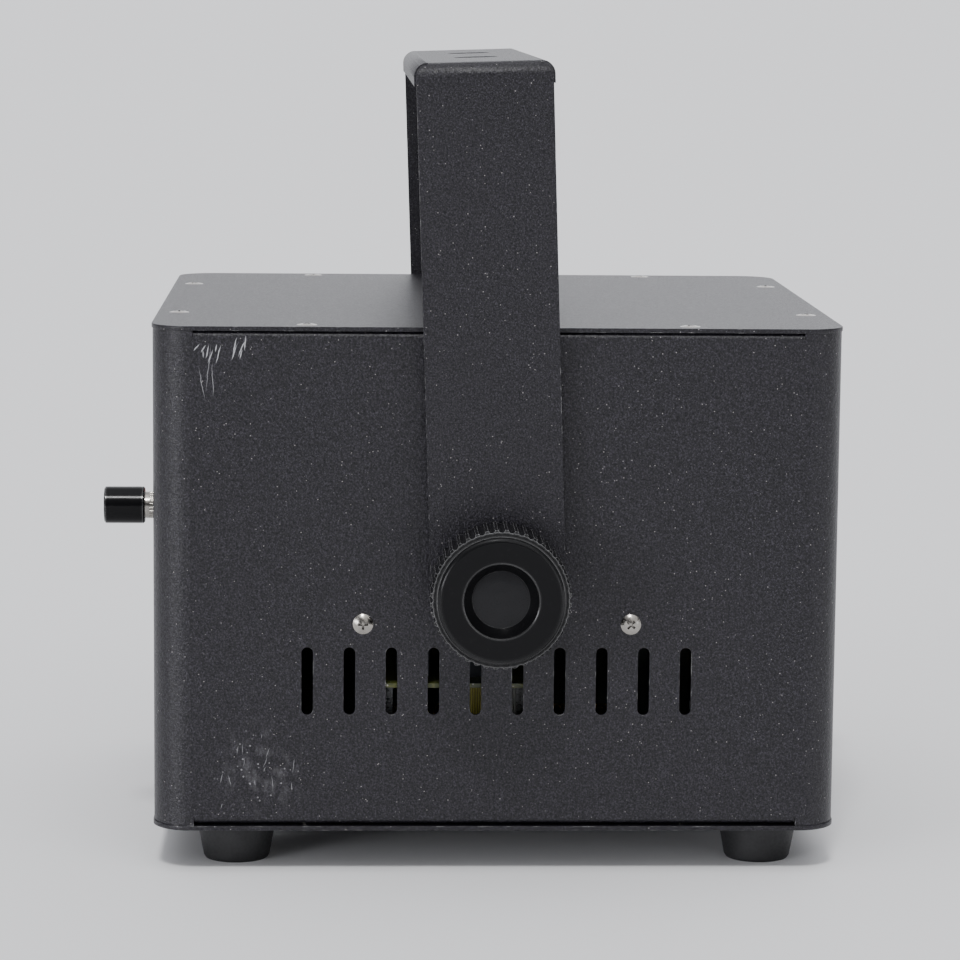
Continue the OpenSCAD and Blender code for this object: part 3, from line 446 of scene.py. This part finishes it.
component_plastic = satin_plastic("component_plastic", (0.03, 0.034, 0.04))
tank_plastic = translucent("tank_plastic", (0.80, 0.82, 0.80), weight=0.45)
silicone = translucent("silicone_tube", (0.80, 0.77, 0.66), weight=0.5, rough=0.25)
wire_jacket = gloss_plastic("wire_jacket", (0.32, 0.035, 0.02), rough=0.35)
green_lens = lens("green_lens", (0.05, 0.42, 0.09))

FINISHES = {
    scuffed_paint: ["left_side_shell"],
    paint: ["base_plate", "top_plate", "right_side_shell", "front_panel", "rear_panel", "yoke"],
    nickel: ["plate_screws", "side_screws", "foot_screws", "potentiometer_nut",
             "button_housing", "potentiometer_shaft"],
    black_oxide: ["panel_screws", "outlet_ring_screws"],
    zinc: ["left_clamp_washer", "right_clamp_washer", "left_clamp_stud", "right_clamp_stud",
           "heater_elements", "thermostats", "pump_plunger", "board_standoffs"],
    galvanised: ["pivot_plates", "heater_cradle", "heater_straps", "potentiometer"],
    knob_plastic: ["left_clamp_knob", "right_clamp_knob", "output_knob"],
    cap_plastic: ["left_knob_cap", "right_knob_cap"],
    rubber_black: ["rubber_feet", "pump_mounts"],
    fibre: ["friction_discs"],
    casting: ["heater_block"],
    wrap_cloth: ["heater_insulation"],
    brass: ["heater_inlet", "nozzle", "pump_cylinder", "connector_contacts"],
    coil_tape: ["pump_coil"],
    laminations: ["pump_frame"],
    tank_plastic: ["fluid_tank"],
    socket_plastic: ["outlet_ring", "filler_cap", "switch_frame", "mains_inlet",
                     "fuse_drawer", "remote_socket"],
    seal_rubber: ["cap_seal"],
    silicone: ["suction_tube", "delivery_tube"],
    board_finish: ["control_board"],
    component_plastic: ["board_components"],
    wire_jacket: ["mains_wires"],
    wire_sleeve: ["heater_wires"],
    green_lens: ["ready_lamp"],
    red_plastic: ["manual_button", "power_rocker"],
}

for material, names in FINISHES.items():
    for name in names:
        mesh = nodes[name].data
        mesh.materials.clear()
        mesh.materials.append(material)

missing = set(nodes) - {name for names in FINISHES.values() for name in names}
if missing:
    raise ValueError(f"no finish for {sorted(missing)}")


def soften_edges(name, width):
    """Joins the CAD mesh's split edges and rounds its sharp ones a little, so that they catch light."""
    obj = nodes[name]
    weld = obj.modifiers.new("weld", "WELD")
    weld.merge_threshold = 0.005 * MM
    bevel = obj.modifiers.new("bevel", "BEVEL")
    bevel.width = width
    bevel.segments = 2
    bevel.limit_method = "ANGLE"
    bevel.angle_limit = math.radians(40)
    bevel.harden_normals = True


for name in ("top_plate", "base_plate", "yoke"):
    soften_edges(name, 0.25 * MM)


# ---------- soft and flexible pieces ----------

def rounded_path(points, radius):
    """The points with each corner replaced by a round bend."""
    steps = 8
    share = 0.48            # of a straight run, so that the bends at its two ends stay apart
    path = [points[0]]
    for before, corner, after in zip(points, points[1:], points[2:]):
        a = (before - corner).normalized()
        b = (after - corner).normalized()
        reach = min(radius, share * (before - corner).length, share * (after - corner).length)
        for i in range(steps + 1):
            t = i / steps
            path.append(corner + a * reach * (1 - t) ** 2 + b * reach * t ** 2)
    path.append(points[-1])
    return path


def flexible(name, points, radius, bend, material, stands_for):
    """A tube or wire through the points, standing for a CAD node."""
    curve = bpy.data.curves.new(name, "CURVE")
    curve.dimensions = "3D"
    curve.bevel_depth = radius
    curve.bevel_resolution = 5
    curve.use_fill_caps = True
    path = rounded_path(points, bend)
    spline = curve.splines.new("POLY")
    spline.points.add(len(path) - 1)
    for point, place in zip(spline.points, path):
        point.co = (*place, 1)
    curve.materials.append(material)
    obj = bpy.data.objects.new(name, curve)
    bpy.context.collection.objects.link(obj)
    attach(obj, "housing")
    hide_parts(stands_for)


def centre(name):
    lo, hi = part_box(name)
    return (Vector(lo) + Vector(hi)) / 2


def new_mesh(name, bm, material):
    mesh = bpy.data.meshes.new(name)
    bm.to_mesh(mesh)
    bm.free()
    for face in mesh.polygons:
        face.use_smooth = True
    mesh.materials.append(material)
    obj = bpy.data.objects.new(name, mesh)
    bpy.context.collection.objects.link(obj)
    return obj


def heat_wrap():
    """Glass-fibre tape wound round the heater: overlapping turns, pulled in under the two straps."""
    lo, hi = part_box("heater_insulation")
    middle = centre("heater_insulation")
    outer = (hi[0] - lo[0]) / 2
    inner = (high("heater_block")[0] - low("heater_block")[0]) / 2
    strap_low, strap_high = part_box("heater_straps")
    half_strap = 5.5 * MM   # of a strap's width
    straps = (strap_low[1] + half_strap, strap_high[1] - half_strap)
    turn = 17 * MM          # how far the tape advances in a turn
    overlap = 1.1 * MM      # step where one turn lies over the last
    ripple = 0.5 * MM       # depth and length of the tape's unevenness
    ripple_length = 9 * MM
    squeeze = 0.6 * MM      # how far a strap pulls the tape in, and over what length
    squeeze_length = 6 * MM
    rings, around = 180, 96
    bm = bmesh.new()
    grid = []
    for i in range(rings + 1):
        y = lo[1] + (hi[1] - lo[1]) * i / rings
        grid.append([])
        for k in range(around):
            angle = 2 * math.pi * k / around
            along = ((y - lo[1]) / turn + k / around) % 1
            radius = outer - overlap * along ** 3
            spot = Vector((math.cos(angle), math.sin(angle), y / ripple_length))
            radius -= ripple * (1 + noise.noise(spot * 2))
            pull = max(math.exp(-((y - strap) / squeeze_length) ** 2) for strap in straps)
            radius -= squeeze * pull
            place = (middle.x + radius * math.cos(angle), y, middle.z + radius * math.sin(angle))
            grid[-1].append(bm.verts.new(place))
    for y in (hi[1], lo[1]):
        grid.append([bm.verts.new((middle.x + inner * math.cos(2 * math.pi * k / around), y,
                                   middle.z + inner * math.sin(2 * math.pi * k / around)))
                     for k in range(around)])
    for ring, after in zip(grid, grid[1:] + grid[:1]):
        for k in range(around):
            n = (k + 1) % around
            bm.faces.new((ring[k], ring[n], after[n], after[k]))
    bmesh.ops.recalc_face_normals(bm, faces=bm.faces)
    wrap = new_mesh("heat_wrap", bm, wrap_cloth)
    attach(wrap, "housing")
    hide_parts("heater_insulation")


def hoses():
    """Milky silicone hoses from the tank to the pump and from the pump to the heater."""
    pump = centre("pump_cylinder")
    heater = centre("heater_inlet")
    suction_low, suction_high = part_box("suction_tube")
    delivery_low, delivery_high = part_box("delivery_tube")
    radius = 3.7 * MM       # of the CAD's tubes
    elbow = 0.3 * MM        # the balls at their corners are this much larger
    back = suction_high[1] - radius - elbow
    base = suction_low[2] + radius
    flexible("suction_hose", [Vector((suction_high[0], back, base)), Vector((pump.x, back, base)),
                              Vector((pump.x, back, pump.z)), Vector((pump.x, suction_low[1], pump.z))],
             radius, bend=14 * MM, material=silicone, stands_for="suction_tube")
    front = delivery_low[1] + radius + elbow
    rear = delivery_high[1] - radius - elbow
    lane = pump.x + 45 * MM                             # where the hose rises and runs to the rear
    start = high("pump_cylinder")[1] - 101 * MM         # at the pump's outlet
    end = high("heater_block")[1] + 8 * MM              # at the heater's inlet
    flexible("delivery_hose", [Vector((pump.x, start, pump.z)),
                               Vector((pump.x, front, pump.z)), Vector((lane, front, pump.z)),
                               Vector((lane, front, heater.z)), Vector((lane, rear, heater.z)),
                               Vector((heater.x, rear, heater.z)), Vector((heater.x, end, heater.z))],
             radius, bend=22 * MM, material=silicone, stands_for="delivery_tube")


heat_wrap()
hoses()


# ---------- floor, light and camera ----------

def plain(name, colour, rough):
    """A matt surface with a mottle too faint to notice."""
    s = Shader(name)
    s.set(Base_Color=s.mix(s.noise(900 * MM, 2), colour, tuple(c * 0.995 for c in colour)), Roughness=rough)
    s.set(Specular_IOR_Level=0.0)
    return s.material


def floor():
    """A plane far wider than the view, at the CAD's lowest point."""
    bpy.ops.mesh.primitive_plane_add(size=FAR, location=(0, 0, cad_box[0].z))
    plane = bpy.context.object
    plane.name = "floor"
    plane.data.materials.append(plain("floor_grey", (0.92, 0.92, 0.93), 0.9))


def sun(name, azimuth, elevation, strength, angle):
    """A distant light from a direction in degrees: azimuth 0 is from -Y, and 270 is from -X."""
    light = bpy.data.lights.new(name, "SUN")
    light.energy = strength
    light.angle = math.radians(angle)
    obj = bpy.data.objects.new(name, light)
    a = math.radians(azimuth)
    e = math.radians(elevation)
    back = Vector((math.sin(a) * math.cos(e), -math.cos(a) * math.cos(e), math.sin(e)))
    obj.rotation_mode = "QUATERNION"
    obj.rotation_quaternion = back.to_track_quat("Z", "Y")
    bpy.context.collection.objects.link(obj)


def camera():
    """Looks along +X and slightly down, as the photograph does."""
    data = bpy.data.cameras.new("camera")
    place = Vector((-1374.6, 54.6, 318.7)) * MM
    data.lens = 132.2
    data.sensor_width = 36
    data.clip_end = FAR
    obj = bpy.data.objects.new("camera", data)
    bpy.context.collection.objects.link(obj)
    bpy.context.scene.camera = obj
    pitch = math.radians(7.875)
    yaw = math.radians(2.187)
    roll = math.radians(0.501)
    forward = Vector((math.cos(yaw) * math.cos(pitch), -math.sin(yaw) * math.cos(pitch), -math.sin(pitch)))
    right = Vector((-math.sin(yaw), -math.cos(yaw), 0))
    up = right.cross(forward)
    rolled_right = right * math.cos(roll) + up * math.sin(roll)
    rolled_up = up * math.cos(roll) - right * math.sin(roll)
    turn = Matrix((rolled_right, rolled_up, -forward)).transposed().to_4x4()
    obj.matrix_world = Matrix.Translation(place) @ turn


AMBIENT = 0.12
SKY = [                                 # direction, sharpness and strength
    ((1.0, -0.25, 0.12), 3.0, 1.8),     # bright wall behind the object
    ((-0.15, 0.1, 1.0), 5.0, 1.7),      # ceiling light
    ((-0.66, 0.74, 0.08), 55.0, 18.0),  # window to the left of the camera
    ((-0.60, -0.79, 0.08), 45.0, 2.2),  # dimmer one to the right of it
]


def studio():
    """A pale room: bright behind the object and above it, with a window to each side of the camera."""
    world = bpy.data.worlds.new("studio")
    world.use_nodes = True
    tree = world.node_tree
    background = tree.nodes["Background"]

    def calculate(operation, a, b):
        n = tree.nodes.new("ShaderNodeMath")
        n.operation = operation
        for value, socket in ((a, n.inputs[0]), (b, n.inputs[1])):
            if isinstance(value, bpy.types.NodeSocket):
                tree.links.new(value, socket)
            else:
                socket.default_value = value
        return n.outputs[0]

    def lobe(direction, sharpness, strength):
        """A soft bright patch of sky in a direction."""
        n = tree.nodes.new("ShaderNodeVectorMath")
        n.operation = "DOT_PRODUCT"
        tree.links.new(coords, n.inputs[0])
        n.inputs[1].default_value = Vector(direction).normalized()
        positive = calculate("MAXIMUM", n.outputs["Value"], 0.0)
        return calculate("MULTIPLY", calculate("POWER", positive, sharpness), strength)

    coords = tree.nodes.new("ShaderNodeTexCoord").outputs["Generated"]
    total = AMBIENT
    for direction, sharpness, strength in SKY:
        total = calculate("ADD", lobe(direction, sharpness, strength), total)
    background.inputs["Color"].default_value = (0.95, 0.96, 1.0, 1)
    tree.links.new(total, background.inputs["Strength"])
    bpy.context.scene.world = world


floor()
studio()
sun("key", azimuth=262, elevation=56, strength=1.6, angle=9)
sun("fill", azimuth=300, elevation=35, strength=0.4, angle=50)
camera()
